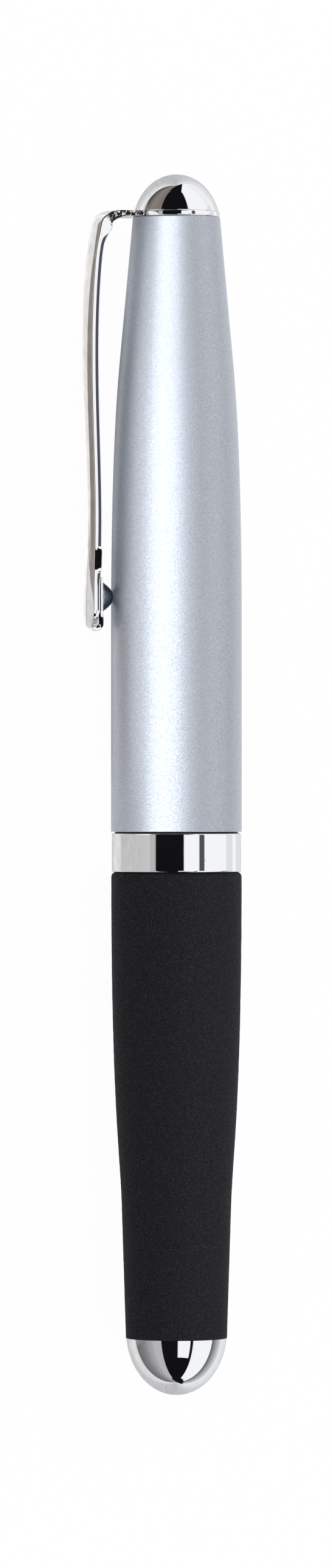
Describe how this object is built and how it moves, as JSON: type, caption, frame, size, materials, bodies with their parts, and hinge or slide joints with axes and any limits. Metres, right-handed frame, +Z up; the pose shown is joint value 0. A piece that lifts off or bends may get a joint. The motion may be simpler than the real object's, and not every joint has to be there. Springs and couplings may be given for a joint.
{
  "type": "pocket pen",
  "caption": "Short capped ballpoint pocket pen with a tapered metal cap, a folded spring clip, domed bright ends, a centre band and a soft waisted grip sleeve.",
  "frame": {"origin": "on the pen's axis, at the lip of the cap", "axes": "+X along the pen towards the capped end, +Z up from the table the pen lies on, the clip towards +Y and a little down"},
  "size_m": [0.1049, 0.0134, 0.0112],
  "materials": {
    "cap_tube": "metallic silver lacquer",
    "cap_liner": "moulded, satin",
    "finial": "polished",
    "finial_nut": "turned",
    "clip_ring": "polished",
    "clip_arm": "polished",
    "cap_friction_ring": "matt",
    "front_section": "fine satin",
    "nose_cone": "polished",
    "section_gasket": "matt",
    "centre_band": "polished",
    "thread_bush": "turned",
    "barrel_tube": "drawn",
    "grip_sleeve": "soft, finely granular",
    "tail_dome": "polished",
    "refill_spring": "drawn wire",
    "refill_tube": "drawn",
    "refill_tip": "turned nickel silver",
    "refill_plug": "moulded",
    "writing_ball": "ground hard metal"
  },
  "bodies": {
    "barrel": {"barrel_tube": "barrel_tube", "centre_band": "centre_band", "thread_bush": "thread_bush", "grip_sleeve": "grip_sleeve", "tail_dome": "tail_dome", "refill_spring": "refill_spring"},
    "gasket": {"section_gasket": "section_gasket"},
    "section": {"front_section": "front_section", "nose_cone": "nose_cone"},
    "friction_ring": {"cap_friction_ring": "cap_friction_ring"},
    "cap": {"cap_tube": "cap_tube", "cap_liner": "cap_liner", "finial": "finial", "finial_nut": "finial_nut", "clip_ring": "clip_ring"},
    "clip": {"clip_arm": "clip_arm"},
    "refill": {"refill_tube": "refill_tube", "refill_tip": "refill_tip", "refill_plug": "refill_plug"},
    "ball": {"writing_ball": "writing_ball"}
  },
  "joints": [
    {"name": "section_advance", "type": "slide", "parent": "barrel", "child": "gasket", "axis": [1, 0, 0], "range_m": [0, 0.004]},
    {"name": "section_turn", "type": "hinge", "parent": "gasket", "child": "section", "pos_m": [0, 0, 0], "axis": [1, 0, 0], "range_deg": [0, 1800]},
    {"name": "cap_turn", "type": "hinge", "parent": "section", "child": "friction_ring", "pos_m": [0, 0, 0], "axis": [1, 0, 0], "continuous": true},
    {"name": "cap_pull", "type": "slide", "parent": "friction_ring", "child": "cap", "axis": [1, 0, 0], "range_m": [0, 0.046]},
    {"name": "clip_flex", "type": "hinge", "parent": "cap", "child": "clip", "pos_m": [0.05325, 0.00487, -0.00276], "axis": [0, -0.4923, -0.8704], "range_deg": [0, 4], "stiffness_Nm_per_rad": 2, "springref_deg": -0.57},
    {"name": "refill_push", "type": "slide", "parent": "section", "child": "refill", "axis": [-1, 0, 0], "range_m": [0, 0.0015], "stiffness_N_per_m": 300, "springref_m": -0.003, "deforming": ["refill_spring"]},
    {"name": "ball_roll", "type": "hinge", "parent": "refill", "child": "ball", "pos_m": [0.0404, 0, 0], "axis": [0, 1, 0], "continuous": true}
  ],
  "couplings": [
    {"joint": "section_turn", "follows": "section_advance", "rad_per_m": 7854}
  ]
}
